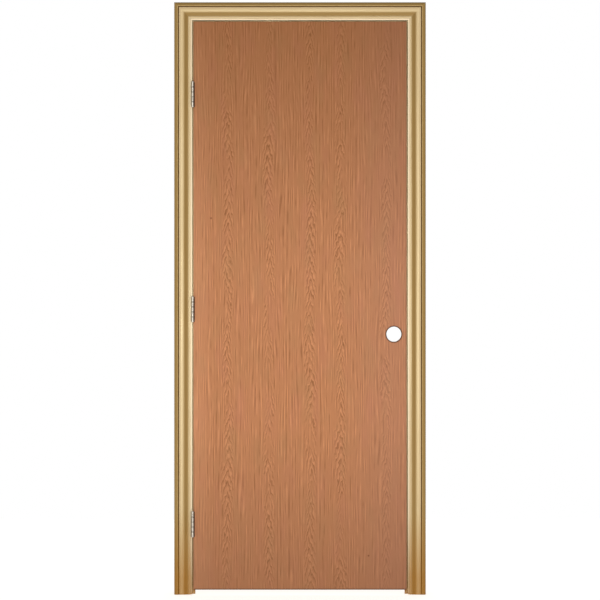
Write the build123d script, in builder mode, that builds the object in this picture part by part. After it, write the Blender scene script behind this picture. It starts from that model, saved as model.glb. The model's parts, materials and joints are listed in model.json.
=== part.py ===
from build123d import *

import math
import os

# A prehung hollow core door: a flush veneered slab on three butt hinges, in a pine frame
# with moulded casing on both faces of the wall.
# Millimetres, +Z up. The viewer stands on the -Y side and the door opens towards the viewer.
# The origin is the middle of the hinge jamb's foot, on the floor.

# Slab
slab_width = 762.0
slab_height = 2032.0
slab_thickness = 35.0
skin_thickness = 3.0
stile_width = 28.0
rail_height = 30.0
latch_bevel = 3.0
lock_block_width = 100.0
lock_block_height = 400.0
core_cell_width = 187.5
core_wall = 0.8

# Gaps round the slab
floor_gap = 17.0
edge_gap = 5.2
stop_gap = 5.0

# Lock preparation
bore_height = 914.0
bore_diameter = 54.0
bore_backset = 45.0
latch_bore_diameter = 25.4
faceplate_height = 57.0
faceplate_width = 25.4
faceplate_depth = 2.5
strike_height = 57.0
strike_width = 28.0
strike_depth = 1.6
strike_pocket_diameter = 22.0
strike_pocket_depth = 14.0
plate_corner = 6.35

# Frame
jamb_thickness = 17.5
jamb_depth = 116.0
rabbet_depth = 8.0
stop_thickness = 11.0
stop_width = 32.0
stop_rounding = 3.0

# Casing section, from its thin inner edge outwards and up from the wall
reveal = 6.35
casing_width = 57.15
casing_thickness = 17.5
bead_width = 7.0
bead_height = 9.0
bead_radius = 1.8
cove_height = 6.4
swell_start = 25.0
swell_height = 14.2
swell_crown = 0.6
quirk_start = 40.0
quirk_width = 2.5
quirk_height = 11.0
band_inner_radius = 3.0
band_edge_height = 8.0

# Hinges
hinge_height = 88.9
leaf_thickness = 2.2
leaf_reach = 44.45
leaf_seat = 30.0
leaf_corner = 6.35
seat_play = 0.2
barrel_radius = 4.9
knuckle_count = 5
knuckle_play = 0.3
notch_play = 0.6
pin_radius = 3.0
pin_play = 0.05
pin_head_radius = 5.0
pin_head_height = 3.0
pin_end = 1.6
pin_chamfer = 1.0
screw_radius = 2.4
screw_spacing = 30.0
screw_stagger = 11.0
lower_hinge_height = 234.0
upper_hinge_drop = 261.0

# How far a cutter runs past the face it enters
overcut = 1.0

# Places worked out from the dimensions above
jamb_face = jamb_thickness / 2
slab_left = jamb_face + edge_gap
slab_right = slab_left + slab_width
latch_face = slab_right + edge_gap
middle_x = (jamb_face + latch_face) / 2
slab_bottom = floor_gap
slab_top = slab_bottom + slab_height
head_face = slab_top + edge_gap
head_top = head_face + jamb_thickness
front = -jamb_depth / 2
slab_back = front + slab_thickness
slab_middle = front + slab_thickness / 2
core_front = front + skin_thickness
core_back = slab_back - skin_thickness
core_left = slab_left + stile_width
core_right = slab_right - stile_width
core_bottom = slab_bottom + rail_height
core_top = slab_top - rail_height
stop_front = slab_back + stop_gap
bore_x = slab_right - bore_backset
bore_z = slab_bottom + bore_height
bevel_slope = math.tan(math.radians(latch_bevel))
casing_inner_x = jamb_face - reveal
casing_inner_z = head_face + reveal
casing_top = casing_inner_z + casing_width
casing_left = casing_inner_x - casing_width
casing_span = 2 * (middle_x - casing_left)
pin_x = (jamb_face + slab_left) / 2
pin_y = front - (leaf_reach - leaf_seat)
knuckle_pitch = hinge_height / knuckle_count
lower_hinge_z = slab_bottom + lower_hinge_height
upper_hinge_z = slab_top - upper_hinge_drop
hinge_places = {
    "lower_hinge": lower_hinge_z,
    "middle_hinge": (lower_hinge_z + upper_hinge_z) / 2,
    "upper_hinge": upper_hinge_z,
}


def write(piece, name):
    """Label a finished piece and write it as its own STEP file."""
    piece.part.label = name
    export_step(piece.part, f"parts/{name}.step")


def side_plane(x, y=0.0, z=0.0):
    """A plane that faces +X, with its first direction along +Y and its second along +Z."""
    return Plane(origin=(x, y, z), x_dir=(0, 1, 0), z_dir=(1, 0, 0))


def mitre_plane(x, z, side):
    """The 45 degree plane through a corner, facing up and inwards. side is -1 at the hinges."""
    return Plane(origin=(x, 0, z), z_dir=(-side, 0, 1))


def leaf_seats(face_x):
    """The three shallow seats for hinge leaves on the plane x = face_x, open at the front."""
    length = leaf_seat + seat_play + leaf_corner
    seat_places = [(length / 2 - leaf_corner, z) for z in hinge_places.values()]
    with BuildSketch(side_plane(face_x, front)) as seats:
        with Locations(*seat_places):
            RectangleRounded(length, hinge_height + 2 * seat_play, leaf_corner)
    return seats.sketch


# Side jambs, each rabbeted at the top for the head jamb
def side_jamb(face_x, side):
    """A plain side jamb with its inner face at face_x, on the given side of the doorway."""
    with BuildPart() as jamb:
        with BuildSketch(Plane.XY):
            with Locations((face_x + side * jamb_thickness / 2, 0)):
                Rectangle(jamb_thickness, jamb_depth)
        extrude(amount=head_top)
        with BuildSketch(Plane.XY.offset(head_face)):
            with Locations((face_x + side * rabbet_depth / 2, 0)):
                Rectangle(rabbet_depth, jamb_depth)
        extrude(amount=jamb_thickness, mode=Mode.SUBTRACT)
    return jamb.part


os.makedirs("parts", exist_ok=True)

with BuildPart() as hinge_jamb:
    add(side_jamb(jamb_face, -1))
    extrude(leaf_seats(jamb_face), amount=-leaf_thickness, mode=Mode.SUBTRACT)
write(hinge_jamb, "hinge_jamb")

with BuildPart() as latch_jamb:
    add(side_jamb(latch_face, 1))
    with BuildSketch(side_plane(latch_face, slab_middle, bore_z)):
        RectangleRounded(strike_width, strike_height, plate_corner)
    extrude(amount=strike_depth, mode=Mode.SUBTRACT)
    with Locations(Plane(origin=(latch_face, slab_middle, bore_z), z_dir=(-1, 0, 0))):
        Hole(strike_pocket_diameter / 2, strike_pocket_depth)
write(latch_jamb, "latch_jamb")

with BuildPart() as head_jamb:
    with BuildSketch(Plane.XY.offset(head_face)):
        with Locations((middle_x, 0)):
            Rectangle(latch_face - jamb_face + 2 * rabbet_depth, jamb_depth)
    extrude(amount=jamb_thickness)
write(head_jamb, "head_jamb")


# Stops, planted on the jambs behind the slab and mitred at the head
with BuildSketch() as stop_section:
    with Locations((stop_thickness / 2, stop_width / 2)):
        Rectangle(stop_thickness, stop_width)
    fillet(stop_section.vertices().group_by(Axis.X)[-1], stop_rounding)

with BuildPart() as hinge_stop:
    with BuildSketch(Plane(origin=(jamb_face, stop_front, 0))):
        add(stop_section.sketch)
    extrude(amount=head_face)
    split(bisect_by=mitre_plane(jamb_face, head_face, -1), keep=Keep.BOTTOM)
write(hinge_stop, "hinge_stop")

with BuildPart() as latch_stop:
    mirror(hinge_stop.part, about=Plane.YZ.offset(middle_x))
write(latch_stop, "latch_stop")

with BuildPart() as head_stop:
    head_stop_plane = Plane(
        origin=(jamb_face, stop_front, head_face), x_dir=(0, 0, -1), z_dir=(1, 0, 0)
    )
    with BuildSketch(head_stop_plane):
        add(stop_section.sketch)
    extrude(amount=latch_face - jamb_face)
    split(bisect_by=mitre_plane(jamb_face, head_face, -1), keep=Keep.TOP)
    split(bisect_by=mitre_plane(latch_face, head_face, 1), keep=Keep.TOP)
write(head_stop, "head_stop")


# Casing: a bead at the thin inner edge, an ogee up to a swell, a quirk and a rounded back band
with BuildSketch() as casing_section:
    with BuildLine():
        ogee_middle = ((bead_width + swell_start) / 2, (cove_height + swell_height) / 2)
        band_start = quirk_start + quirk_width
        Line((0, 0), (0, bead_height - bead_radius))
        TangentArc((0, bead_height - bead_radius), (bead_radius, bead_height), tangent=(0, 1))
        Line((bead_radius, bead_height), (bead_width - bead_radius, bead_height))
        TangentArc(
            (bead_width - bead_radius, bead_height),
            (bead_width, bead_height - bead_radius),
            tangent=(1, 0),
        )
        Line((bead_width, bead_height - bead_radius), (bead_width, cove_height))
        cove = TangentArc((bead_width, cove_height), ogee_middle, tangent=(1, 0))
        TangentArc(ogee_middle, (swell_start, swell_height), tangent=cove % 1)
        ThreePointArc(
            (swell_start, swell_height),
            ((swell_start + quirk_start) / 2, swell_height + swell_crown),
            (quirk_start, swell_height),
        )
        Line((quirk_start, swell_height), (quirk_start, quirk_height))
        Line((quirk_start, quirk_height), (band_start, quirk_height))
        Line((band_start, quirk_height), (band_start, casing_thickness - band_inner_radius))
        TangentArc(
            (band_start, casing_thickness - band_inner_radius),
            (band_start + band_inner_radius, casing_thickness),
            tangent=(0, 1),
        )
        TangentArc(
            (band_start + band_inner_radius, casing_thickness),
            (casing_width, band_edge_height),
            tangent=(1, 0),
        )
        Line((casing_width, band_edge_height), (casing_width, 0))
        Line((casing_width, 0), (0, 0))
    make_face()

with BuildPart() as front_hinge_casing:
    with BuildSketch(Plane(origin=(casing_inner_x, front, 0), x_dir=(-1, 0, 0), z_dir=(0, 0, 1))):
        add(casing_section.sketch)
    extrude(amount=casing_top)
    split(bisect_by=mitre_plane(casing_inner_x, casing_inner_z, -1), keep=Keep.BOTTOM)
write(front_hinge_casing, "front_hinge_casing")

with BuildPart() as front_latch_casing:
    mirror(front_hinge_casing.part, about=Plane.YZ.offset(middle_x))
write(front_latch_casing, "front_latch_casing")

with BuildPart() as front_head_casing:
    head_casing_plane = Plane(
        origin=(casing_left, front, casing_inner_z), x_dir=(0, 0, 1), z_dir=(1, 0, 0)
    )
    with BuildSketch(head_casing_plane):
        add(casing_section.sketch)
    extrude(amount=casing_span)
    split(bisect_by=mitre_plane(casing_inner_x, casing_inner_z, -1), keep=Keep.TOP)
    split(bisect_by=mitre_plane(2 * middle_x - casing_inner_x, casing_inner_z, 1), keep=Keep.TOP)
write(front_head_casing, "front_head_casing")

# The casing on the far face of the wall repeats the front one
front_casings = {
    "back_hinge_casing": front_hinge_casing,
    "back_latch_casing": front_latch_casing,
    "back_head_casing": front_head_casing,
}
for casing_name, front_casing in front_casings.items():
    with BuildPart() as back_casing:
        mirror(front_casing.part, about=Plane.XZ)
    write(back_casing, casing_name)


# Slab: two skins over a softwood frame, a lock block and a paper honeycomb
def latch_edge(y):
    """Where the bevelled latch edge lies at the depth y."""
    return slab_right - bevel_slope * (y - front)


def bevelled_board(left, near, far):
    """A full-height board of the slab between two depths, whose right edge is the latch edge."""
    with BuildPart() as board:
        with BuildSketch(Plane.XY.offset(slab_bottom)):
            with BuildLine():
                Polyline(
                    (left, near),
                    (latch_edge(near), near),
                    (latch_edge(far), far),
                    (left, far),
                    close=True,
                )
            make_face()
        extrude(amount=slab_height)
    return board.part


def core_board(left, right, bottom, top):
    """A square-cut board of the slab's inner frame, as thick as the space between the skins."""
    with BuildPart() as board:
        with BuildSketch(Plane.XY.offset(bottom)):
            with Locations(((left + right) / 2, slab_middle)):
                Rectangle(right - left, core_back - core_front)
        extrude(amount=top - bottom)
    return board.part


lock_bore_plane = Plane(origin=(bore_x, front - overcut, bore_z), z_dir=(0, -1, 0))
lock_bore_depth = slab_thickness + 2 * overcut
latch_bore_plane = Plane(origin=(slab_right + overcut, slab_middle, bore_z), z_dir=(1, 0, 0))
edge_normal = (1, bevel_slope, 0)
faceplate_plane = Plane(
    origin=(latch_edge(slab_middle), slab_middle, bore_z), x_dir=(0, 0, 1), z_dir=edge_normal
)

with BuildPart() as front_skin:
    add(bevelled_board(slab_left, front, core_front))
    extrude(leaf_seats(slab_left), amount=leaf_thickness, mode=Mode.SUBTRACT)
    with Locations(lock_bore_plane):
        Hole(bore_diameter / 2, lock_bore_depth)
write(front_skin, "front_skin")

with BuildPart() as back_skin:
    add(bevelled_board(slab_left, core_back, slab_back))
    with Locations(lock_bore_plane):
        Hole(bore_diameter / 2, lock_bore_depth)
write(back_skin, "back_skin")

with BuildPart() as hinge_stile:
    add(core_board(slab_left, core_left, slab_bottom, slab_top))
    extrude(leaf_seats(slab_left), amount=leaf_thickness, mode=Mode.SUBTRACT)
write(hinge_stile, "hinge_stile")

with BuildPart() as latch_stile:
    add(bevelled_board(core_right, core_front, core_back))
    with BuildSketch(faceplate_plane.offset(overcut)):
        RectangleRounded(faceplate_height, faceplate_width, plate_corner)
    extrude(amount=-overcut - faceplate_depth, mode=Mode.SUBTRACT)
    with Locations(latch_bore_plane):
        Hole(latch_bore_diameter / 2, overcut + bore_backset)
    with Locations(lock_bore_plane):
        Hole(bore_diameter / 2, lock_bore_depth)
write(latch_stile, "latch_stile")

with BuildPart() as top_rail:
    add(core_board(core_left, core_right, core_top, slab_top))
write(top_rail, "top_rail")

with BuildPart() as bottom_rail:
    add(core_board(core_left, core_right, slab_bottom, core_bottom))
write(bottom_rail, "bottom_rail")

lock_block_left = core_right - lock_block_width
with BuildPart() as lock_block:
    add(
        core_board(
            lock_block_left,
            core_right,
            bore_z - lock_block_height / 2,
            bore_z + lock_block_height / 2,
        )
    )
    with Locations(lock_bore_plane):
        Hole(bore_diameter / 2, lock_bore_depth)
write(lock_block, "lock_block")

# The paper core is pulled open until whole cells fill the width, and cut to the height
with BuildPart() as honeycomb_core:
    core_width = core_right - core_left
    core_height = core_top - core_bottom
    across_corners = 2 / math.sqrt(3)
    column_step = math.sqrt(3) / 2
    more_columns = round((core_width / core_cell_width - across_corners) / column_step)
    pulled_cell = (core_width - core_wall * across_corners) / (
        more_columns * column_step + across_corners
    )
    rows = math.ceil(core_height / pulled_cell) + 1
    with BuildSketch(Plane.XZ.offset(-core_front)):
        with Locations(((core_left + core_right) / 2, (core_bottom + core_top) / 2)):
            with HexLocations(pulled_cell / 2, more_columns + 1, rows):
                RegularPolygon((pulled_cell + core_wall) / 2, 6, major_radius=False)
                RegularPolygon(
                    (pulled_cell - core_wall) / 2,
                    6,
                    major_radius=False,
                    mode=Mode.SUBTRACT,
                )
            Rectangle(core_width, core_height, mode=Mode.INTERSECT)
        with Locations(((lock_block_left + core_right) / 2, bore_z)):
            Rectangle(lock_block_width, lock_block_height, mode=Mode.SUBTRACT)
    extrude(amount=core_front - core_back)
write(honeycomb_core, "honeycomb_core")


# Hinges: a leaf on the jamb with three knuckles, a leaf on the slab with two, and a loose pin
def hinge_leaf(hinge_z, side):
    """One leaf with its knuckles. side is -1 for the leaf on the jamb and 1 for the slab's."""
    face_x = pin_x + side * edge_gap / 2
    notch_reach = barrel_radius + notch_play
    knuckle_height = knuckle_pitch - knuckle_play
    first_knuckle = 0 if side < 0 else 1
    knuckle_places = [
        hinge_z + knuckle_pitch * (number - (knuckle_count - 1) / 2)
        for number in range(first_knuckle, knuckle_count, 2)
    ]
    screw_places = [
        (leaf_reach - leaf_seat / 2 + offset, hinge_z + number * screw_spacing)
        for number, offset in enumerate((screw_stagger / 2, -screw_stagger / 2, screw_stagger / 2), -1)
    ]
    leaf_plane = side_plane(face_x, pin_y)
    with BuildPart() as leaf:
        with BuildSketch(leaf_plane) as plate:
            with Locations(((notch_reach + leaf_reach) / 2, hinge_z)):
                Rectangle(leaf_reach - notch_reach, hinge_height)
            fillet(plate.vertices().group_by(Axis.X)[-1], leaf_corner)
        extrude(amount=side * leaf_thickness)
        with BuildSketch(leaf_plane):
            with Locations(*[(notch_reach / 2, z) for z in knuckle_places]):
                Rectangle(notch_reach, knuckle_height)
        extrude(amount=side * leaf_thickness)
        with Locations(*[(pin_x, pin_y, z) for z in knuckle_places]):
            Cylinder(barrel_radius, knuckle_height)
        with Locations((pin_x, pin_y, hinge_z)):
            Cylinder(pin_radius + pin_play, hinge_height, mode=Mode.SUBTRACT)
        screw_planes = [
            Plane(origin=(face_x, pin_y + reach, z), z_dir=(-side, 0, 0))
            for reach, z in screw_places
        ]
        with Locations(*screw_planes):
            Hole(screw_radius, leaf_thickness)
    return leaf


def hinge_pin(hinge_z):
    """The loose pin: a button head on the top knuckle, and an end that shows below the lowest."""
    cap_base = (hinge_height - knuckle_play) / 2
    cap_top = cap_base + pin_head_height
    shaft_end = -hinge_height / 2 - pin_end
    pin_plane = Plane(origin=(pin_x, pin_y, hinge_z), x_dir=(1, 0, 0), z_dir=(0, -1, 0))
    with BuildPart() as pin:
        with BuildSketch(pin_plane):
            with BuildLine():
                Polyline(
                    (0, shaft_end),
                    (pin_radius, shaft_end),
                    (pin_radius, cap_base),
                    (pin_head_radius, cap_base),
                    (pin_head_radius, cap_top - pin_chamfer),
                    (pin_head_radius - pin_chamfer, cap_top),
                    (0, cap_top),
                    close=True,
                )
            make_face()
        revolve(axis=Axis((pin_x, pin_y, hinge_z), (0, 0, 1)))
    return pin


for hinge_name, hinge_z in hinge_places.items():
    write(hinge_leaf(hinge_z, -1), f"{hinge_name}_jamb_leaf")
    write(hinge_leaf(hinge_z, 1), f"{hinge_name}_door_leaf")
    write(hinge_pin(hinge_z), f"{hinge_name}_pin")
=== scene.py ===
"""Dresses a prehung hollow core door: its finishes, its hinge screws and a plain studio."""

import json
import logging
import math
from dataclasses import dataclass
from enum import Enum
from typing import ClassVar

import bpy
from mathutils import Euler, Matrix, Vector


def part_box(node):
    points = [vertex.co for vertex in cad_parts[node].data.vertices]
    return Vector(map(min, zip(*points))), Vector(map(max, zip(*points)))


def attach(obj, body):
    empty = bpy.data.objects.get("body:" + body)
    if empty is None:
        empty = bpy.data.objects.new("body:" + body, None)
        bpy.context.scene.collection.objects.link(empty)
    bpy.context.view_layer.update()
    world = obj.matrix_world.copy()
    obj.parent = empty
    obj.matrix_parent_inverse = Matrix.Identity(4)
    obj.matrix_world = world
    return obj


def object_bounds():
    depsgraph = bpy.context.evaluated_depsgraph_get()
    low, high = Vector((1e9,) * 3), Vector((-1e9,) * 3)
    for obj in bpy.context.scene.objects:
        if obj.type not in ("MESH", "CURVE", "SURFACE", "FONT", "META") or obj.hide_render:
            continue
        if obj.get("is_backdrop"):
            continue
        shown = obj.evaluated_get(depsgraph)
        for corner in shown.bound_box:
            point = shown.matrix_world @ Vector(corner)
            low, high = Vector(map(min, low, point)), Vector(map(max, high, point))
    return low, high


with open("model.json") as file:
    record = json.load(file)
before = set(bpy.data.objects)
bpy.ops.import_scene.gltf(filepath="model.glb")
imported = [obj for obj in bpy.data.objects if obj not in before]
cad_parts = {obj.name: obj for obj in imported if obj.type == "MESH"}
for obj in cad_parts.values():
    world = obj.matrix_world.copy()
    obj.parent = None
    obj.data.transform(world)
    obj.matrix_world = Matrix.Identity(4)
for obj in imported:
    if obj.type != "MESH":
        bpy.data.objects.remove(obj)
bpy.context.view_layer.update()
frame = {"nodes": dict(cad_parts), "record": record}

MM = 0.001
# Sockets of a colour Mix node
SHARE, FIRST, SECOND = 0, 6, 7
logger = logging.getLogger("door")


class GrainRun(Enum):
    """Which way a board's grain runs, and the turn about Y that lays it along local Z."""

    UPRIGHT = 0.0
    LEVEL = -90.0


class BoardCut(Enum):
    """How a pine board got its section."""

    PLANED = "planed"
    MOULDED = "moulded"


def linear(hex_colour: str) -> tuple[float, float, float, float]:
    """Turns an sRGB hex value into the linear colour that a socket takes.

    Args:
        hex_colour: Six hex digits after a hash sign.

    Returns:
        Linear red, green, blue and an alpha of 1.
    """
    channels = [int(hex_colour[start : start + 2], 16) / 255 for start in (1, 3, 5)]
    straight = [c / 12.92 if c <= 0.04045 else ((c + 0.055) / 1.055) ** 2.4 for c in channels]
    return (*straight, 1.0)


def put(
    tree: bpy.types.NodeTree,
    kind: str,
    inputs: dict | None = None,
    stops: dict[float, float] | None = None,
    **settings: object,
) -> bpy.types.Node:
    """Adds a node with its settings and links.

    Args:
        tree: The node tree that takes the node.
        kind: The node's type, without the words ShaderNode.
        inputs: What goes into its sockets by name or number: a value, a socket, or another
            node, whose first output in use is taken.
        stops: For a colour ramp, the grey at each place along it, both from 0 to 1.
        **settings: The node's own properties, such as its operation.

    Returns:
        The new node.
    """
    node = tree.nodes.new("ShaderNode" + kind)
    for name, setting in settings.items():
        setattr(node, name, setting)
    for key, source in (inputs or {}).items():
        if isinstance(source, bpy.types.Node):
            source = next(socket for socket in source.outputs if socket.enabled)
        if isinstance(source, bpy.types.NodeSocket):
            tree.links.new(source, node.inputs[key])
        else:
            node.inputs[key].default_value = source
    for number, (place, grey) in enumerate(sorted((stops or {}).items())):
        elements = node.color_ramp.elements
        element = elements[number] if number < len(elements) else elements.new(place)
        element.position = place
        element.color = (grey, grey, grey, 1.0)
    return node


def place_in_mm(tree: bpy.types.NodeTree, run: GrainRun) -> bpy.types.Node:
    """Gives a point of the piece in millimetres, with Z along the board.

    Args:
        tree: The node tree that takes the nodes.
        run: Which way the grain runs.

    Returns:
        The node with the point.
    """
    own = put(tree, "TexCoord").outputs["Object"]
    scaled = put(tree, "VectorMath", {0: own, "Scale": 1 / MM}, operation="SCALE")
    turn = (0.0, math.radians(run.value), 0.0)
    return put(tree, "Mapping", {"Vector": scaled, "Rotation": turn})


def build_up(
    tree: bpy.types.NodeTree,
    ground_hex: str,
    layers: list[tuple[bpy.types.Node, str | bpy.types.Node]],
) -> bpy.types.Node:
    """Builds up the colour of a finish, one layer over another.

    Args:
        tree: The node tree that takes the nodes.
        ground_hex: The ground's colour.
        layers: How much each layer covers, and its colour as a hex value or a node.

    Returns:
        The node with the colour.
    """
    colour: tuple[float, ...] | bpy.types.Node = linear(ground_hex)
    for share, tint in layers:
        over = linear(tint) if isinstance(tint, str) else tint
        sockets = {SHARE: share, FIRST: colour, SECOND: over}
        colour = put(tree, "Mix", sockets, data_type="RGBA")
    return colour


@dataclass(frozen=True)
class Grain:
    """Uneven fibres drawn out along a board. Sizes in millimetres.

    What lies between the two values of seen is spread over the two of span.
    """

    across: float
    along: float
    layers: float = 1.0
    seen: tuple[float, float] = (0.0, 1.0)
    span: tuple[float, float] = (0.0, 1.0)
    fineness: float = 0.55

    def draw(self, tree: bpy.types.NodeTree, place: bpy.types.Node) -> bpy.types.Node:
        """Draws the fibres.

        Args:
            tree: The node tree that takes the nodes.
            place: The point in millimetres, with Z along the board.

        Returns:
            The node with the fibres.
        """
        scale = (1 / self.across, 1 / self.across, 1 / self.along)
        stretched = put(tree, "Mapping", {"Vector": place, "Scale": scale})
        noise = {
            "Vector": stretched,
            "Scale": 1.0,
            "Detail": self.layers,
            "Roughness": self.fineness,
        }
        fibres = put(tree, "TexNoise", noise)
        if self.seen == self.span:
            return fibres
        ends = dict(zip(("From Min", "From Max", "To Min", "To Max"), self.seen + self.span))
        return put(tree, "MapRange", {"Value": fibres, **ends})


@dataclass(frozen=True)
class Relief:
    """A surface's fine texture: how strongly it shows, and its depth in millimetres."""

    strength: float
    depth: float


@dataclass(frozen=True)
class Finish:
    """A finish, which becomes a material. Each kind says its name, surface and relief."""

    relief: ClassVar[Relief | None] = None

    def label(self) -> str:
        """Gives the material's name."""
        raise NotImplementedError

    def surface(self, tree: bpy.types.NodeTree) -> dict[str, object]:
        """Gives what goes into the surface shader's sockets, and the relief's height.

        Args:
            tree: The node tree that takes the nodes.

        Returns:
            A value or node for each socket that isn't left as it is, and for Height.
        """
        raise NotImplementedError

    def material(self) -> bpy.types.Material:
        """Makes the material.

        Returns:
            The material.
        """
        material = bpy.data.materials.new(self.label())
        material.use_nodes = True
        tree = material.node_tree
        tree.nodes.clear()
        sockets = self.surface(tree)
        if self.relief:
            bump = {
                "Height": sockets.pop("Height"),
                "Strength": self.relief.strength,
                "Distance": self.relief.depth * MM,
            }
            sockets["Normal"] = put(tree, "Bump", bump)
        shader = put(tree, "BsdfPrincipled", sockets)
        put(tree, "OutputMaterial", {"Surface": shader})
        return material


@dataclass(frozen=True)
class SlabOutline:
    """The slab's face and what is cut into it, in millimetres in the door's frame."""

    left: float
    right: float
    foot: float
    top: float
    bore: tuple[float, float, float]
    bore_radius: float
    hinge_heights: tuple[float, ...]
    seat_half_height: float


@dataclass(frozen=True)
class SandedOakVeneer(Finish):
    """Red oak veneer, plain-sliced, laid on thin fibreboard, sanded, stained, sealed satin.

    Straight threads of grain come and go along each leaf, and a narrow flame of arches
    stands in its middle. A painted shade darkens the cut ends and the bore's rim, a painted
    shadow of each hinge barrel lies beside its seat, which gives them a thin dark outline, and a
    painted shade of the light's falloff darkens the face towards its top and foot. The sides
    are bare fibreboard.
    Places and sizes are in millimetres in the door's frame.
    """

    outline: SlabOutline
    light_hex: str = "#D28F62"
    dark_hex: str = "#8C5A37"
    edge_hex: str = "#94744F"
    edge_dark_hex: str = "#7C5F43"
    edge_fibres: Grain = Grain(1.4, 1.4, 3.0)
    knot_hex: str = "#6B3B25"
    # Colour of the painted shade at the cut edges and the bore's rim, and of the painted barrel
    # shadows
    painted_shade_hex: str = "#42271A"
    # Real threads lie about 2 mm apart, drawn at 10 mm so that they show
    thread_pitch: float = 10.0
    thread_wander: Grain = Grain(34.0, 420.0, span=(-16.0, 16.0))
    thread_patches: Grain = Grain(8.0, 60.0, seen=(0.42, 0.66), span=(0.0, 0.7))
    # Where one leaf of veneer meets the next, and the middle of each leaf's flame
    leaf_edges: tuple[float, ...] = (210.0, 360.0, 486.0, 615.0)
    flame_middles: tuple[float, ...] = (135.0, 284.0, 431.0, 541.0, 702.0)
    # A flame is full to half its half width, and fades from there to its side
    flame_half_width: float = 22.0
    # How far a flame wanders sideways, how ragged its arms are, and where it fails to show
    flame_drift: Grain = Grain(60.0, 260.0, 0.0, span=(-14.0, 14.0))
    flame_rag: Grain = Grain(8.0, 20.0, span=(-7.0, 7.0))
    flame_patches: Grain = Grain(45.0, 110.0, seen=(0.32, 0.48))
    # The arches' arms drop four times as far as they reach sideways
    flame_rise: float = 0.25
    arch_pitch: float = 10.0
    # A dark line with a light edge beside it, through each arch
    arch_section: tuple[tuple[float, float], ...] = (
        (0.0, 0.5),
        (0.2, 0.0),
        (0.4, 0.6),
        (0.55, 0.85),
        (0.75, 0.5),
        (1.0, 0.5),
    )
    # Faint rosy and olive clouds, as between the trees of one stack
    clouds: tuple[tuple[Grain, str], ...] = (
        (Grain(55.0, 190.0, seen=(0.5, 0.8), span=(0.0, 0.35)), "#B8755A"),
        (Grain(48.0, 150.0, seen=(0.5, 0.8), span=(0.0, 0.35)), "#A67A50"),
    )
    # Lighter towards the hinge edge and darker towards the latch edge: where each change
    # starts and ends across the slab, how much it covers there, and its colour
    side_tones: tuple[tuple[float, float, float, str], ...] = (
        (90.0, 14.0, 0.22, "#E0A077"),
        (540.0, 720.0, 0.3, "#A5735F"),
    )
    # Painted shade of the light falling off towards the slab's top and foot: the same for the
    # heights where it deepens
    painted_light_falloff: tuple[tuple[float, float, float, str], ...] = (
        (1150.0, 2049.0, 0.48, "#6C3B06"),
        (600.0, 17.0, 0.42, "#6E4932"),
    )
    # How far from a cut the painted shade reaches, from where it starts to where it is darkest,
    # and how dark it is there
    edge_shade: tuple[float, float, float] = (4.0, 0.0, 0.16)
    foot_shade: tuple[float, float, float] = (6.0, 1.5, 0.65)
    rim_shade: tuple[float, float, float] = (5.5, 1.0, 1.0)
    # Painted shadow that each hinge barrel casts on the slab beside its seat
    barrel_shadow: tuple[float, float, float] = (5.5, 4.0, 1.0)
    knots: tuple[tuple[float, float, float], ...] = ((76.8, -58.0, 1346.0), (640.0, -58.0, 138.6))
    knot_reach: float = 5.0
    # A point belongs to a face, and not to a side, if its normal looks along Y by more than this
    facing: float = 0.7
    pores: Grain = Grain(1.6, 18.0)
    relief: ClassVar[Relief] = Relief(0.35, 0.1)
    # The sealer lies thicker on the light wood than in the open pores of the dark
    roughness: tuple[float, float] = (0.68, 0.58)
    gloss: float = 0.15

    def label(self) -> str:
        """Gives the material's name."""
        return "sanded_red_oak_veneer"

    def leaf_middle(self, tree: bpy.types.NodeTree, across: bpy.types.NodeSocket) -> bpy.types.Node:
        """Gives the middle of the flame of the leaf that a point lies in.

        Args:
            tree: The node tree that takes the nodes.
            across: The point's place across the door.

        Returns:
            The node with the middle.
        """
        middle: float | bpy.types.Node = self.flame_middles[0]
        for edge, left, right in zip(self.leaf_edges, self.flame_middles, self.flame_middles[1:]):
            past = put(tree, "Math", {0: across, 1: edge}, operation="GREATER_THAN")
            step = {0: past, 1: right - left, 2: middle}
            middle = put(tree, "Math", step, operation="MULTIPLY_ADD")
        return middle

    def threads(self, tree: bpy.types.NodeTree, place: bpy.types.Node) -> bpy.types.Node:
        """Draws the straight threads of grain, which come and go along the leaf.

        Args:
            tree: The node tree that takes the nodes.
            place: The point in millimetres.

        Returns:
            The node with the threads, from -1 for dark to 1 for light.
        """
        across = put(tree, "SeparateXYZ", {0: place}).outputs[0]
        wander = self.thread_wander.draw(tree, place)
        shifted = put(tree, "Math", {0: across, 1: wander}, operation="ADD")
        turns = {0: shifted, 1: math.tau / self.thread_pitch}
        phase = put(tree, "Math", turns, operation="MULTIPLY")
        wave = put(tree, "Math", {0: phase}, operation="SINE")
        shows = self.thread_patches.draw(tree, place)
        return put(tree, "Math", {0: wave, 1: shows}, operation="MULTIPLY")

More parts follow.
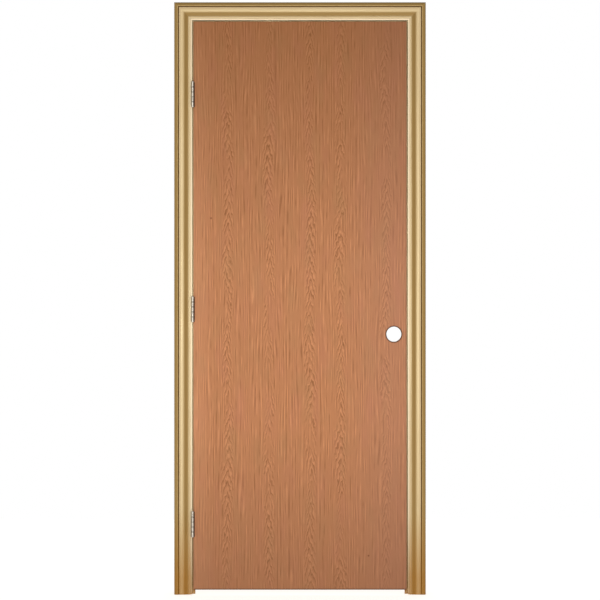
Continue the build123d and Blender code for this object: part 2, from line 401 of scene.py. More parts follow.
    def flames(
        self, tree: bpy.types.NodeTree, place: bpy.types.Node
    ) -> tuple[bpy.types.Node, bpy.types.Node]:
        """Draws the arches that the slice cuts out of the growth rings.

        Args:
            tree: The node tree that takes the nodes.
            place: The point in millimetres.

        Returns:
            The node with the arches, from -1 for dark to 1 for light, and the one that
            says how much they show.
        """
        parts = put(tree, "SeparateXYZ", {0: place})
        across, up = parts.outputs[0], parts.outputs[2]
        middle = self.leaf_middle(tree, across)
        offset = put(tree, "Math", {0: across, 1: middle}, operation="SUBTRACT")
        drift = self.flame_drift.draw(tree, place)
        drifted = put(tree, "Math", {0: offset, 1: drift}, operation="ADD")
        rag = self.flame_rag.draw(tree, place)
        ragged = put(tree, "Math", {0: drifted, 1: rag}, operation="ADD")
        arm = put(tree, "Math", {0: ragged}, operation="ABSOLUTE")
        risen = put(tree, "Math", {0: up, 1: self.flame_rise, 2: arm}, operation="MULTIPLY_ADD")
        count = put(tree, "Math", {0: risen, 1: self.arch_pitch}, operation="DIVIDE")
        phase = put(tree, "Math", {0: count}, operation="FRACT")
        section = put(tree, "ValToRGB", {0: phase}, stops=dict(self.arch_section))
        arches = put(tree, "MapRange", {"Value": section, "To Min": -1.0})
        sides = {
            "Value": put(tree, "Math", {0: drifted}, operation="ABSOLUTE"),
            "From Min": self.flame_half_width,
            "From Max": self.flame_half_width / 2,
        }
        narrow = put(tree, "MapRange", sides)
        here = self.flame_patches.draw(tree, place)
        return arches, put(tree, "Math", {0: narrow, 1: here}, operation="MULTIPLY")

    def figure(self, tree: bpy.types.NodeTree, place: bpy.types.Node) -> bpy.types.Node:
        """Lays the flames over the threads.

        Args:
            tree: The node tree that takes the nodes.
            place: The point in millimetres.

        Returns:
            The node with the figure of the wood, from 0 for dark to 1 for light.
        """
        arches, share = self.flames(tree, place)
        threads = self.threads(tree, place)
        figure = put(tree, "Mix", {"Factor": share, "A": threads, "B": arches})
        return put(tree, "MapRange", {"Value": figure, "From Min": -1.0})

    def painted_edge_shade(self, tree: bpy.types.NodeTree, place: bpy.types.Node) -> bpy.types.Node:
        """Marks the painted shade at the cut ends and the bore's rim, and the painted barrel
        shadows.

        Args:
            tree: The node tree that takes the nodes.
            place: The point in millimetres.

        Returns:
            How dark the painted shade is, from 0 to 1.
        """
        outline = self.outline
        parts = put(tree, "SeparateXYZ", {0: place})
        across, up = parts.outputs[0], parts.outputs[2]
        flat = put(tree, "VectorMath", {0: place, 1: (1.0, 0.0, 1.0)}, operation="MULTIPLY")
        bore = (outline.bore[0], 0.0, outline.bore[2])
        reach = put(tree, "VectorMath", {0: flat, 1: bore}, operation="DISTANCE")
        # A measure, the cut's place along it, its painted shade, and where along the cut it shows
        cuts = [
            (across, outline.left, self.edge_shade, 1.0),
            (across, outline.right, self.edge_shade, 1.0),
            (up, outline.foot, self.edge_shade, 1.0),
            (up, outline.top, self.edge_shade, 1.0),
            (up, outline.foot, self.foot_shade, 1.0),
            (reach, outline.bore_radius, self.rim_shade, 1.0),
        ]
        # Painted shadow of each hinge barrel, on the slab beside its seat
        for height in outline.hinge_heights:
            seat = {0: up, 1: height, 2: outline.seat_half_height}
            level = put(tree, "Math", seat, operation="COMPARE")
            cuts.append((across, outline.left, self.barrel_shadow, level))
        deepest: float | bpy.types.Node = 0.0
        for measure, cut, (start, end, most), level in cuts:
            offset = put(tree, "Math", {0: measure, 1: cut}, operation="SUBTRACT")
            distance = put(tree, "Math", {0: offset}, operation="ABSOLUTE")
            fade = {"Value": distance, "From Min": start, "From Max": end, "To Max": most}
            depth = put(tree, "MapRange", fade)
            here = put(tree, "Math", {0: depth, 1: level}, operation="MULTIPLY")
            deepest = put(tree, "Math", {0: here, 1: deepest}, operation="MAXIMUM")
        return deepest

    def knot_mask(self, tree: bpy.types.NodeTree, place: bpy.types.Node) -> bpy.types.Node:
        """Marks the pin knots.

        Args:
            tree: The node tree that takes the nodes.
            place: The point in millimetres.

        Returns:
            1 at a knot's middle, falling to 0 round it.
        """
        nearest: float | bpy.types.Node = 1.0
        for knot in self.knots:
            distance = put(tree, "VectorMath", {0: place, 1: knot}, operation="DISTANCE")
            share = put(tree, "Math", {0: distance, 1: self.knot_reach}, operation="DIVIDE")
            nearest = put(tree, "Math", {0: share, 1: nearest}, operation="MINIMUM")
        return put(tree, "Math", {0: 1.0, 1: nearest}, operation="SUBTRACT")

    def face_colour(
        self, tree: bpy.types.NodeTree, place: bpy.types.Node, figure: bpy.types.Node
    ) -> bpy.types.Node:
        """Puts the colours of the veneer's face together.

        Args:
            tree: The node tree that takes the nodes.
            place: The point in millimetres.
            figure: The figure of the wood.

        Returns:
            The node with the colour.
        """
        layers = [(figure, self.light_hex)]
        layers += [(grain.draw(tree, place), tint) for grain, tint in self.clouds]
        parts = put(tree, "SeparateXYZ", {0: place})
        across, up = parts.outputs[0], parts.outputs[2]
        fades = [(across, *tone) for tone in self.side_tones]
        # Painted shade of the light's falloff towards the top and the foot
        fades += [(up, *falloff_band) for falloff_band in self.painted_light_falloff]
        for measure, start, end, most, tint in fades:
            fade = {"Value": measure, "From Min": start, "From Max": end, "To Max": most}
            layers.append((put(tree, "MapRange", fade), tint))
        # Painted shade at the cuts and the bore's rim, and painted shadows beside the hinge seats
        layers.append((self.painted_edge_shade(tree, place), self.painted_shade_hex))
        layers.append((self.knot_mask(tree, place), self.knot_hex))
        return build_up(tree, self.dark_hex, layers)

    def surface(self, tree: bpy.types.NodeTree) -> dict[str, object]:
        """Gives what goes into the surface shader's sockets.

        Args:
            tree: The node tree that takes the nodes.

        Returns:
            A value or node for each socket that isn't left as it is, and for Height.
        """
        place = place_in_mm(tree, GrainRun.UPRIGHT)
        figure = self.figure(tree, place)
        normal = put(tree, "SeparateXYZ", {0: put(tree, "TexCoord").outputs["Normal"]})
        squarely = put(tree, "Math", {0: normal.outputs[1]}, operation="ABSOLUTE")
        on_face = put(tree, "Math", {0: squarely, 1: self.facing}, operation="GREATER_THAN")
        layers = [
            (self.edge_fibres.draw(tree, place), self.edge_dark_hex),
            (on_face, self.face_colour(tree, place, figure)),
        ]
        pores = self.pores.draw(tree, place)
        dull, satin = self.roughness
        return {
            "Base Color": build_up(tree, self.edge_hex, layers),
            "Roughness": put(tree, "MapRange", {"Value": figure, "To Min": dull, "To Max": satin}),
            "Specular IOR Level": self.gloss,
            "Height": put(tree, "Math", {0: pores, 1: figure}, operation="ADD"),
        }


@dataclass(frozen=True)
class CasingOutline:
    """The casing's inner edge and the parts of its section, in millimetres."""

    middle: float
    half_width: float
    top: float
    width: float
    quirk_middle: float = 41.35
    quirk_half_width: float = 1.45

    def outwards(self, tree: bpy.types.NodeTree) -> bpy.types.Node:
        """Gives how far a point lies outside the casing's inner edge.

        Args:
            tree: The node tree that takes the nodes.

        Returns:
            The node with the distance.
        """
        parts = put(tree, "SeparateXYZ", {0: place_in_mm(tree, GrainRun.UPRIGHT)})
        shifted = put(tree, "Math", {0: parts.outputs[0], 1: self.middle}, operation="SUBTRACT")
        sideways = put(tree, "Math", {0: shifted}, operation="ABSOLUTE")
        beside = put(tree, "Math", {0: sideways, 1: self.half_width}, operation="SUBTRACT")
        above = put(tree, "Math", {0: parts.outputs[2], 1: self.top}, operation="SUBTRACT")
        return put(tree, "Math", {0: beside, 1: above}, operation="MAXIMUM")


@dataclass(frozen=True)
class PineTones:
    """The colours of a pine board under its coat, which is named for how much tint it holds."""

    coat: str
    light_hex: str
    dark_hex: str
    late_hex: str


@dataclass(frozen=True)
class ClearPine(Finish):
    """Knot-free pine under a satin clear coat, planed flat or run through a moulder.

    It is pale, with thin amber late wood lines along the board. On a moulded board a painted
    shade darkens the hollow and the back band and leaves the bead and the swell pale, and a
    brown painted shade fills the dull quirk. Every upright browns towards its foot.
    The gloss parts the flats, which face the room, from the slopes. Places and sizes are in
    millimetres in the door's frame. A moulded board needs its outline.
    """

    run: GrainRun
    cut: BoardCut
    tones: PineTones
    outline: CasingOutline | None = None
    sheen_hex: str = "#FFF0C4"
    # Colour of the painted shade on the slopes and the back band
    slope_shade_hex: str = "#96763F"
    # Colour and strength of the painted shade in the quirk
    quirk_shade_hex: str = "#4E2C06"
    quirk_shade_share: float = 0.95
    foot_hex: str = "#94600E"
    # The heights where the brown starts and is deepest, and how much it covers there
    foot_fade: tuple[float, float, float] = (300.0, 60.0, 0.78)
    # How strong the painted shade is, by the share of the section from its inner edge: none on
    # the bead, little on the swell, most in the hollow and on the back band
    slope_shade_section: tuple[tuple[float, float], ...] = (
        (0.11, 0.0),
        (0.13, 0.85),
        (0.3, 0.95),
        (0.42, 0.5),
        (0.52, 0.15),
        (0.68, 0.1),
        (0.76, 0.85),
        (0.9, 1.0),
        (1.0, 0.55),
    )
    streaks: Grain = Grain(5.0, 320.0, 2.0, seen=(0.3, 0.7))
    pith: tuple[float, float, float] = (-70.0, 110.0, 0.0)
    ring_pitch: float = 5.0
    ring_waves: Grain = Grain(40.0, 700.0, span=(0.0, 22.0))
    # Early wood turns slowly into late wood, which ends sharply at the next ring
    ring_section: tuple[tuple[float, float], ...] = ((0.0, 0.0), (0.6, 0.1), (0.9, 1.0), (1.0, 0.0))
    late_strength: float = 0.3
    # The hard late wood takes a slightly higher gloss than the wood between its lines
    gloss_roughness: float = 0.27
    late_polish: float = -0.05
    fibres: Grain = Grain(0.8, 40.0, 2.0)
    relief: ClassVar[Relief] = Relief(0.25, 0.05)

    def label(self) -> str:
        """Gives the material's name."""
        return f"{self.cut.value}_{self.tones.coat}_pine_{self.run.name.lower()}"

    def late_wood(self, tree: bpy.types.NodeTree, place: bpy.types.Node) -> bpy.types.Node:
        """Draws the late wood lines where the board's face cuts the rings.

        Args:
            tree: The node tree that takes the nodes.
            place: The point in millimetres, with Z along the board.

        Returns:
            How far the point is in late wood, from 0 to 1.
        """
        section = put(tree, "VectorMath", {0: place, 1: self.pith}, operation="SUBTRACT")
        flat = put(tree, "VectorMath", {0: section, 1: (1.0, 1.0, 0.0)}, operation="MULTIPLY")
        radius = put(tree, "VectorMath", {0: flat}, operation="LENGTH")
        waves = self.ring_waves.draw(tree, place)
        wavy = put(tree, "Math", {0: waves, 1: radius}, operation="ADD")
        count = put(tree, "Math", {0: wavy, 1: self.ring_pitch}, operation="DIVIDE")
        phase = put(tree, "Math", {0: count}, operation="FRACT")
        return put(tree, "ValToRGB", {0: phase}, stops=dict(self.ring_section))

    def surface(self, tree: bpy.types.NodeTree) -> dict[str, object]:
        """Gives what goes into the surface shader's sockets.

        Args:
            tree: The node tree that takes the nodes.

        Returns:
            A value or node for each socket that isn't left as it is, and for Height.
        """
        place = place_in_mm(tree, self.run)
        late = self.late_wood(tree, place)
        late_share = put(tree, "Math", {0: late, 1: self.late_strength}, operation="MULTIPLY")
        layers = [
            (self.streaks.draw(tree, place), self.tones.dark_hex),
            (late_share, self.tones.late_hex),
        ]
        polish = {0: late, 1: self.late_polish, 2: self.gloss_roughness}
        roughness = put(tree, "Math", polish, operation="MULTIPLY_ADD")
        if self.outline is not None:
            outwards = self.outline.outwards(tree)
            part = put(tree, "Math", {0: outwards, 1: self.outline.width}, operation="DIVIDE")
            # Painted shade on the slopes and the back band, by the place across the section
            thickness = put(tree, "ValToRGB", {0: part}, stops=dict(self.slope_shade_section))
            quirk = {0: outwards, 1: self.outline.quirk_middle, 2: self.outline.quirk_half_width}
            inside = put(tree, "Math", quirk, operation="COMPARE")
            # Painted shade in the quirk
            quirk_shade = put(tree, "Math", {0: inside, 1: self.quirk_shade_share}, operation="MULTIPLY")
            layers += [(thickness, self.slope_shade_hex), (quirk_shade, self.quirk_shade_hex)]
            roughness = put(tree, "Math", {0: inside, 1: roughness}, operation="MAXIMUM")
        up = put(tree, "SeparateXYZ", {0: place_in_mm(tree, GrainRun.UPRIGHT)}).outputs[2]
        start, end, most = self.foot_fade
        fade = {"Value": up, "From Min": start, "From Max": end, "To Max": most}
        layers.append((put(tree, "MapRange", fade), self.foot_hex))
        return {
            "Base Color": build_up(tree, self.tones.light_hex, layers),
            "Roughness": roughness,
            "Specular Tint": linear(self.sheen_hex),
            "Height": self.fibres.draw(tree, place),
        }


@dataclass(frozen=True)
class PlanedSoftwood(Finish):
    """Bare softwood, planed and cut square: dry and pale, with faint rings and saw fuzz."""

    run: GrainRun
    light_hex: str = "#D9BE8F"
    dark_hex: str = "#BF9C66"
    streaks: Grain = Grain(3.5, 180.0, 3.0, seen=(0.35, 0.7))
    fuzz: Grain = Grain(0.7, 9.0, 2.0)
    roughness: float = 0.62
    relief: ClassVar[Relief] = Relief(0.5, 0.15)

    def label(self) -> str:
        """Gives the material's name."""
        return f"planed_softwood_{self.run.name.lower()}"

    def surface(self, tree: bpy.types.NodeTree) -> dict[str, object]:
        """Gives what goes into the surface shader's sockets.

        Args:
            tree: The node tree that takes the nodes.

        Returns:
            A value or node for each socket that isn't left as it is, and for Height.
        """
        place = place_in_mm(tree, self.run)
        streaks = self.streaks.draw(tree, place)
        return {
            "Base Color": build_up(tree, self.light_hex, [(streaks, self.dark_hex)]),
            "Roughness": self.roughness,
            "Height": self.fuzz.draw(tree, place),
        }


@dataclass(frozen=True)
class KraftPaper(Finish):
    """Unbleached kraft paper, rolled: matt brown, with fibres and small specks."""

    light_hex: str = "#B58F62"
    dark_hex: str = "#93704A"
    fibres: Grain = Grain(1.5, 4.0, 4.0)
    roughness: float = 0.8
    relief: ClassVar[Relief] = Relief(0.4, 0.05)

    def label(self) -> str:
        """Gives the material's name."""
        return "rolled_kraft_paper"

    def surface(self, tree: bpy.types.NodeTree) -> dict[str, object]:
        """Gives what goes into the surface shader's sockets.

        Args:
            tree: The node tree that takes the nodes.

        Returns:
            A value or node for each socket that isn't left as it is, and for Height.
        """
        fibres = self.fibres.draw(tree, place_in_mm(tree, GrainRun.UPRIGHT))
        return {
            "Base Color": build_up(tree, self.light_hex, [(fibres, self.dark_hex)]),
            "Roughness": self.roughness,
            "Height": fibres,
        }


@dataclass(frozen=True)
class BrushedNickel(Finish):
    """Satin nickel plate on steel, brushed along the hinge: soft, warm grey streaked glints.

    Oil and dust darken the seams between the knuckles of the barrel. Sizes in millimetres.
    """

    barrels: tuple[tuple[float, float, float], ...]
    knuckle_pitch: float = 17.78
    # Where the seams lie, in knuckles from the barrel's middle
    seam_places: tuple[float, ...] = (-1.5, -0.5, 0.5, 1.5)
    barrel_reach: float = 5.4
    # A real seam is 0.3 mm wide, drawn at about 3 mm so that it shows: how far from its middle
    # it starts, and how far it is at its darkest
    seam_fade: tuple[float, float] = (1.8, 0.9)
    light_hex: str = "#ABA499"
    dark_hex: str = "#857D74"
    seam_hex: str = "#3B342D"
    # Brush lines are about 0.1 mm wide, drawn at 0.5 mm so that they show
    brush_lines: Grain = Grain(0.5, 14.0, 2.0)
    handling: Grain = Grain(9.0, 9.0, 2.0)
    # How dull the plate is between its brush lines, and how much duller it is along them
    roughness: float = 0.29
    brushed_roughness: float = 0.14
    relief: ClassVar[Relief] = Relief(0.3, 0.02)

    def label(self) -> str:
        """Gives the material's name."""
        return "brushed_satin_nickel"

    def seams(self, tree: bpy.types.NodeTree, place: bpy.types.Node) -> bpy.types.Node:
        """Marks the seams between the knuckles.

        Args:
            tree: The node tree that takes the nodes.
            place: The point in millimetres.

        Returns:
            The node with how dark the seam is, from 0 to 1.
        """
        start, end = self.seam_fade
        up = put(tree, "SeparateXYZ", {0: place}).outputs[2]
        nearest: float | bpy.types.Node = start
        for _, _, middle in self.barrels:
            for seam_place in self.seam_places:
                seam = middle + seam_place * self.knuckle_pitch
                above = put(tree, "Math", {0: up, 1: seam}, operation="SUBTRACT")
                distance = put(tree, "Math", {0: above}, operation="ABSOLUTE")
                nearest = put(tree, "Math", {0: distance, 1: nearest}, operation="MINIMUM")
        seam_share = put(tree, "MapRange", {"Value": nearest, "From Min": start, "From Max": end})
        across, deep, _ = self.barrels[0]
        flat = put(tree, "VectorMath", {0: place, 1: (1.0, 1.0, 0.0)}, operation="MULTIPLY")
        reach = put(tree, "VectorMath", {0: flat, 1: (across, deep, 0.0)}, operation="DISTANCE")
        barrel = put(tree, "Math", {0: reach, 1: self.barrel_reach}, operation="LESS_THAN")
        return put(tree, "Math", {0: seam_share, 1: barrel}, operation="MULTIPLY")

    def surface(self, tree: bpy.types.NodeTree) -> dict[str, object]:
        """Gives what goes into the surface shader's sockets.

        Args:
            tree: The node tree that takes the nodes.

        Returns:
            A value or node for each socket that isn't left as it is, and for Height.
        """
        place = place_in_mm(tree, GrainRun.UPRIGHT)
        lines = self.brush_lines.draw(tree, place)
        handling = self.handling.draw(tree, place)
        tone = put(tree, "Math", {0: lines, 1: handling}, operation="MULTIPLY")
        layers = [(tone, self.dark_hex), (self.seams(tree, place), self.seam_hex)]
        brushed = {0: lines, 1: self.brushed_roughness, 2: self.roughness}
        return {
            "Base Color": build_up(tree, self.light_hex, layers),
            "Metallic": 1.0,
            "Roughness": put(tree, "Math", brushed, operation="MULTIPLY_ADD"),
            "Height": lines,
        }


@dataclass(frozen=True)
class PaintedFloor(Finish):
    """Matt pale floor paint, rolled on, which glows a little so that it reads as white."""

    pale_hex: str = "#F4F3F0"
    roughness: float = 0.9
    glow: float = 0.8

    def label(self) -> str:
        """Gives the material's name."""
        return "painted_pale_floor"

    def surface(self, tree: bpy.types.NodeTree) -> dict[str, object]:
        """Gives what goes into the surface shader's sockets.

        Args:
            tree: The node tree that takes the nodes.

        Returns:
            A value for each socket that isn't left as it is.
        """
        pale = linear(self.pale_hex)
        return {
            "Base Color": pale,
            "Roughness": self.roughness,
            "Emission Color": pale,
            "Emission Strength": self.glow,
        }


def dress(node_name: str, material: bpy.types.Material) -> None:
    """Gives a CAD node its material.

    Args:
        node_name: The node's name.
        material: Its finish.
    """
    node = frame["nodes"][node_name]
    node.data.materials.clear()
    node.data.materials.append(material)


@dataclass
class Slab:
    """The hollow core slab: veneered skins over a softwood frame and a paper core."""

    skins: tuple[str, ...] = ("front_skin", "back_skin")
    upright_boards: tuple[str, ...] = ("hinge_stile", "latch_stile", "lock_block")
    level_boards: tuple[str, ...] = ("top_rail", "bottom_rail")
    core: str = "honeycomb_core"
    hinges: tuple[str, ...] = ("lower_hinge", "middle_hinge", "upper_hinge")

    def outline(self) -> SlabOutline:
        """Reads the slab's face, its bore and its hinge seats off the CAD.

        Returns:
            The outline.
        """
        low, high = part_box(self.skins[0])
        bore = next(m for m in frame["record"]["mounts"] if m["name"] == "lock_bore")
        leaves = [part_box(f"{hinge}_door_leaf") for hinge in self.hinges]
        return SlabOutline(
            left=low.x / MM,
            right=high.x / MM,
            foot=low.z / MM,
            top=high.z / MM,
            bore=tuple(part / MM for part in bore["pos_m"]),
            bore_radius=bore["dims"]["r_mm"],
            hinge_heights=tuple((leaf[0].z + leaf[1].z) / 2 / MM for leaf in leaves),
            seat_half_height=(leaves[0][1].z - leaves[0][0].z) / 2 / MM,
        )

    def build(self) -> list[str]:
        """Dresses the slab's nodes.

        Returns:
            The names of the dressed pieces.
        """
        veneer = SandedOakVeneer(self.outline()).material()
        upright = PlanedSoftwood(GrainRun.UPRIGHT).material()
        level = PlanedSoftwood(GrainRun.LEVEL).material()
        finishes = {
            **dict.fromkeys(self.skins, veneer),
            **dict.fromkeys(self.upright_boards, upright),
            **dict.fromkeys(self.level_boards, level),
            self.core: KraftPaper().material(),
        }
        for node_name, material in finishes.items():
            dress(node_name, material)
        return list(finishes)


@dataclass
class DoorFrame:
    """The jambs, the stops planted on them, and the casing on both faces of the wall."""

    faces: tuple[str, ...] = ("front_", "back_")
    casing_tones: PineTones = PineTones("honey", "#C2A87F", "#B09469", "#9A723D")
    jamb_tones: PineTones = PineTones("pale", "#DCCAAE", "#CEB899", "#BC9968")
    # The stops are coloured darker as painted shade for the gap round the slab, which gives the gap
    # its brown depth
    shaded_stop_tones: PineTones = PineTones("amber", "#A18053", "#8F6F42", "#7C592B")

    def outline(self) -> CasingOutline:
        """Reads the casing's inner edge off the CAD.

        Returns:
            The outline.
        """
        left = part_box("front_hinge_casing")[1].x / MM
        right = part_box("front_latch_casing")[0].x / MM
        top, outer_top = (corner.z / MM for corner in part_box("front_head_casing"))
        return CasingOutline((left + right) / 2, (right - left) / 2, top, outer_top - top)

    def build(self) -> list[str]:
        """Dresses the frame's nodes.

        Returns:
            The names of the dressed pieces.
        """
        boards = [
            ("jamb", BoardCut.PLANED, self.jamb_tones, None),
            ("stop", BoardCut.PLANED, self.shaded_stop_tones, None),
            ("casing", BoardCut.MOULDED, self.casing_tones, self.outline()),
        ]
        finishes = {}
        for board, cut, tones, outline in boards:
            upright = ClearPine(GrainRun.UPRIGHT, cut, tones, outline).material()
            level = ClearPine(GrainRun.LEVEL, cut, tones, outline).material()
            # Jambs and stops run through the wall, where each face has a casing of its own
            for face in self.faces if outline else ("",):
                for side, material in (("hinge", upright), ("latch", upright), ("head", level)):
                    finishes[f"{face}{side}_{board}"] = material
        for node_name, material in finishes.items():
            dress(node_name, material)
        return list(finishes)


@dataclass
class HingeSet:
    """Three butt hinges and their oval-head screws. Sizes in metres."""

    heights: tuple[str, ...] = ("lower", "middle", "upper")
    # Each leaf, the body that it rides on, and which way along X its screws drive
    leaves: tuple[tuple[str, str, float], ...] = (("jamb", "frame", -1.0), ("door", "door", 1.0))
    leaf_gap: float = 5.2 * MM
    leaf_seat: float = 30.0 * MM
    screw_spacing: float = 30.0 * MM
    screw_stagger: float = 11.0 * MM
    head_radius: float = 4.1 * MM
    head_rise: float = 0.7 * MM
    head_facets: int = 20
    # The dome's steps: how far each goes in and up, as shares of the head's radius and rise
    dome_steps: tuple[tuple[float, float], ...] = ((0.3, 0.35), (0.3, 0.15))
    shank_radius: float = 2.1 * MM
    shank_length: float = 15.0 * MM
    # The point's length and width, as shares of the shank's
    point_share: tuple[float, float] = (0.2, 0.15)
    slot_reach: float = 2.4 * MM
    slot_width: float = 0.9 * MM
    slot_depth: float = 0.6 * MM
    smooth_degrees: float = 35.0
    # A facet is an end of the screw if its normal looks along Z by more than this
    end_facing: float = 0.99

    def barrels(self) -> tuple[tuple[float, float, float], ...]:
        """Reads the middle of each barrel off the CAD.

        Returns:
            The middles, in millimetres.
        """
        middles = []
        for height in self.heights:
            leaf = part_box(f"{height}_hinge_jamb_leaf")
            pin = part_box(f"{height}_hinge_pin")
            across, deep = (sum(corner[axis] for corner in pin) / 2 / MM for axis in (0, 1))
            middles.append((across, deep, (leaf[0].z + leaf[1].z) / 2 / MM))
        return tuple(middles)

    def model_screw(self) -> bpy.types.Object:
        """Models one screw at the origin, with its head facing up.

        Returns:
            The screw.
        """
        bpy.ops.object.select_all(action="DESELECT")
        bpy.ops.mesh.primitive_cylinder_add(
            vertices=self.head_facets,
            radius=self.head_radius,
            depth=self.head_rise / 2,
            location=(0, 0, 0),
        )
        screw = bpy.context.object
        bpy.ops.object.mode_set(mode="EDIT")
        self.select_end(screw, 1.0)
        for inwards, upwards in self.dome_steps:
            bpy.ops.mesh.inset(thickness=self.head_radius * inwards)
            bpy.ops.transform.translate(value=(0, 0, self.head_rise * upwards))
        self.select_end(screw, -1.0)
        bpy.ops.mesh.inset(thickness=self.head_radius - self.shank_radius)
        point_length, point_width = self.point_share
        for share in (1 - point_length, point_length):
            drop = (0, 0, -self.shank_length * share)
            bpy.ops.mesh.extrude_region_move(TRANSFORM_OT_translate={"value": drop})
        bpy.ops.transform.resize(value=(point_width, point_width, 1))
        bpy.ops.object.mode_set(mode="OBJECT")
        self.cut_cross(screw)
        bpy.ops.object.shade_smooth_by_angle(angle=math.radians(self.smooth_degrees))
        return screw

    def select_end(self, piece: bpy.types.Object, side: float) -> None:
        """Selects the end faces of a piece in edit mode.

        Args:
            piece: The piece being edited.
            side: 1 for the faces that look up, -1 for those that look down.
        """
        bpy.ops.mesh.select_all(action="DESELECT")
        bpy.ops.object.mode_set(mode="OBJECT")
        for polygon in piece.data.polygons:
            polygon.select = polygon.normal.z * side > self.end_facing
        bpy.ops.object.mode_set(mode="EDIT")
        bpy.ops.mesh.select_mode(type="FACE")

    def cut_cross(self, screw: bpy.types.Object) -> None:
        """Cuts the cross recess into a screw's head.

        Args:
            screw: The screw, with its head facing up.
        """
        top = max(vertex.co.z for vertex in screw.data.vertices)
        for turn in (0.0, math.pi / 2):
            bpy.ops.object.select_all(action="DESELECT")
            bpy.ops.mesh.primitive_cube_add(size=1.0, location=(0, 0, top), rotation=(0, 0, turn))
            cutter = bpy.context.object
            cutter.scale = (2 * self.slot_reach, self.slot_width, 2 * self.slot_depth)
            bpy.context.view_layer.objects.active = screw
            cut = screw.modifiers.new("cross", "BOOLEAN")
            cut.operation, cut.object = "DIFFERENCE", cutter
            bpy.ops.object.modifier_apply(modifier=cut.name)
            bpy.data.objects.remove(cutter)
        bpy.ops.object.select_all(action="DESELECT")
        screw.select_set(True)

    def screw_places(self, height: str, side: float) -> list[Vector]:
        """Works out where a leaf's screws sit.

        Args:
            height: The hinge's name.
            side: -1 for the leaf on the jamb, 1 for the leaf on the slab.

        Returns:
            The middle of each screw's head on the leaf's open face.
        """
        pin_low, pin_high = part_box(f"{height}_hinge_pin")
        leaf_low, leaf_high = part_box(f"{height}_hinge_jamb_leaf")
        face = (pin_low.x + pin_high.x) / 2 + side * self.leaf_gap / 2
        middle = leaf_high.y - self.leaf_seat / 2
        hinge_z = (leaf_low.z + leaf_high.z) / 2
        places = []
        for row in (-1, 0, 1):
            aside = self.screw_stagger / 2 * (1 if row else -1)
            places.append(Vector((face, middle + aside, hinge_z + row * self.screw_spacing)))
        return places

    def place_screw(
        self, pattern: bpy.types.Object, name: str, place: Vector, side: float
    ) -> bpy.types.Object:
        """Copies the modelled screw to its hole.

        Args:
            pattern: The screw at the origin.
            name: The copy's name.
            place: Where its head sits.
            side: -1 if it drives towards -X, 1 if towards +X.

        Returns:
            The copy.
        """
        screw = bpy.data.objects.new(name, pattern.data.copy())
        bpy.context.scene.collection.objects.link(screw)
        turn = Euler((0, -side * math.pi / 2, 0)).to_matrix().to_4x4()
        screw.data.transform(Matrix.Translation(place) @ turn)
        return screw

    def build(self) -> list[str]:
        """Dresses the hinges and makes their screws.

        Returns:
            The names of the pieces.
        """
        nickel = BrushedNickel(self.barrels()).material()
        pattern = self.model_screw()
        pattern.data.materials.clear()
        pattern.data.materials.append(nickel)
        made = []
        for height in self.heights:
            dress(f"{height}_hinge_pin", nickel)
            made.append(f"{height}_hinge_pin")
            for leaf_name, body, side in self.leaves:
                leaf = f"{height}_hinge_{leaf_name}_leaf"
                dress(leaf, nickel)
                made.append(leaf)
                for number, place in enumerate(self.screw_places(height, side), 1):
                    screw = self.place_screw(pattern, f"{leaf}_screw_{number}", place, side)
                    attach(screw, body)
                    made.append(screw.name)
        bpy.data.objects.remove(pattern)
        return made


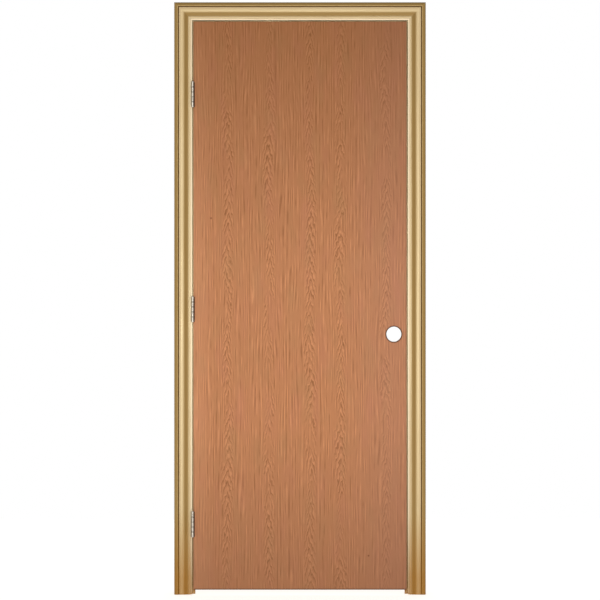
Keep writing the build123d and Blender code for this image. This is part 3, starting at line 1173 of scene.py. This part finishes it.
@dataclass
class Studio:
    """A pale floor, soft panels, white surroundings and the camera. Sizes in metres."""

    picture_pixels: float = 600.0
    metres_per_pixel: float = 0.003573
    foot_row: float = 594.8
    lens: float = 300.0
    sensor: float = 36.0
    camera_reach: float = 200.0
    white: tuple[float, float, float, float] = (1.0, 1.0, 1.0, 1.0)
    side_glow: float = 0.34
    zenith_glow: float = 0.22
    panel_distance: float = 22.0
    panel_half_angle: float = 13.5
    panel_height: float = 2.3
    front_radiance: float = 7.5
    back_radiance: float = 5.0
    spot_distance: float = 9.0
    spot_radius: float = 0.35
    spot_power: float = 420.0
    spot_aim: tuple[float, float] = (0.30, 0.92)
    spot_reach: float = 1.9
    floor_size: float = 12.0

    def build_floor(self) -> bpy.types.Object:
        """Makes the floor.

        Returns:
            The floor, marked as stage.
        """
        bpy.ops.object.select_all(action="DESELECT")
        bpy.ops.mesh.primitive_plane_add(size=self.floor_size, location=(0, 0, 0))
        floor = bpy.context.object
        floor.name = "studio_floor"
        floor.data.materials.append(PaintedFloor().material())
        floor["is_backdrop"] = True
        return floor

    def build_surround(self) -> None:
        """Makes surroundings that look white and light the door more softly than that."""
        world = bpy.data.worlds.new("white_surround")
        bpy.context.scene.world = world
        world.use_nodes = True
        tree = world.node_tree
        tree.nodes.clear()
        heading = put(tree, "SeparateXYZ", {0: put(tree, "TexCoord").outputs["Generated"]})
        rise = {"Value": heading.outputs[2], "To Min": self.side_glow, "To Max": self.zenith_glow}
        strength = put(tree, "MapRange", rise)
        glow = put(tree, "Background", {"Color": self.white, "Strength": strength})
        backdrop = put(tree, "Background", {"Color": self.white, "Strength": 1.0})
        seen = put(tree, "LightPath").outputs["Is Camera Ray"]
        mixed = put(tree, "MixShader", {0: seen, 1: glow, 2: backdrop})
        put(tree, "OutputWorld", {"Surface": mixed})

    def add_lamp(self, name: str, kind: str, place: Vector, turn: float) -> bpy.types.Object:
        """Adds a level lamp.

        Args:
            name: The lamp's name.
            kind: Its type, such as AREA.
            place: Where it stands.
            turn: Its turn about Z from looking along +Y, in radians.

        Returns:
            The lamp.
        """
        lamp = bpy.data.objects.new(name, bpy.data.lights.new(name, kind))
        bpy.context.scene.collection.objects.link(lamp)
        lamp.location = place
        lamp.rotation_euler = (math.pi / 2, 0.0, turn)
        return lamp

    def build_panel(self, name: str, side: float, radiance: float) -> bpy.types.Object:
        """Makes a large round soft panel, square to the door.

        Args:
            name: The panel's name.
            side: -1 for one that lights the front, 1 for the back.
            radiance: How bright its face is.

        Returns:
            The panel.
        """
        low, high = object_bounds()
        place = Vector(((low.x + high.x) / 2, side * self.panel_distance, self.panel_height))
        panel = self.add_lamp(name, "AREA", place, 0.0 if side < 0 else math.pi)
        radius = self.panel_distance * math.tan(math.radians(self.panel_half_angle))
        panel.data.shape = "DISK"
        panel.data.size = 2 * radius
        # A lamp's power is its radiance times pi times its area
        panel.data.energy = radiance * math.pi * (math.pi * radius**2)
        return panel

    def build_spot(self) -> bpy.types.Object:
        """Makes the aimed frontal lamp, whose light fades away from its aim.

        Returns:
            The lamp.
        """
        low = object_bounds()[0]
        place = Vector((self.spot_aim[0], low.y - self.spot_distance, self.spot_aim[1]))
        spot = self.add_lamp("aimed_soft_spot", "SPOT", place, 0.0)
        spot.data.energy = self.spot_power
        spot.data.shadow_soft_size = self.spot_radius
        spot.data.spot_size = 2 * math.atan(self.spot_reach / self.spot_distance)
        spot.data.spot_blend = 1.0
        return spot

    def build_camera(self) -> bpy.types.Object:
        """Makes the camera, level and square to the door, as the photograph has it.

        Returns:
            The camera.
        """
        low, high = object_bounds()
        height = self.picture_pixels * self.metres_per_pixel
        distance = height / self.sensor * self.lens
        camera_data = bpy.data.cameras.new("camera")
        camera_data.lens, camera_data.sensor_width = self.lens, self.sensor
        camera_data.clip_end = self.camera_reach
        camera = bpy.data.objects.new("camera", camera_data)
        bpy.context.scene.collection.objects.link(camera)
        level = (self.foot_row - self.picture_pixels / 2) * self.metres_per_pixel
        camera.location = ((low.x + high.x) / 2, low.y - distance, level)
        camera.rotation_euler = (math.pi / 2, 0.0, 0.0)
        bpy.context.scene.camera = camera
        return camera

    def build(self) -> list[str]:
        """Builds the studio.

        Returns:
            The names of what it adds.
        """
        floor = self.build_floor()
        self.build_surround()
        added = [
            floor,
            self.build_panel("front_soft_panel", -1.0, self.front_radiance),
            self.build_panel("back_soft_panel", 1.0, self.back_radiance),
            self.build_spot(),
            self.build_camera(),
        ]
        bpy.context.scene.view_settings.view_transform = "Standard"
        return [item.name for item in added]


def main() -> None:
    """Builds and dresses each sub-assembly in order."""
    logging.basicConfig(level=logging.INFO, format="%(name)s: %(message)s")
    for assembly in (Slab(), DoorFrame(), HingeSet(), Studio()):
        for piece_name in assembly.build():
            logger.info("%s: %s", type(assembly).__name__, piece_name)


if __name__ == "__main__":
    main()
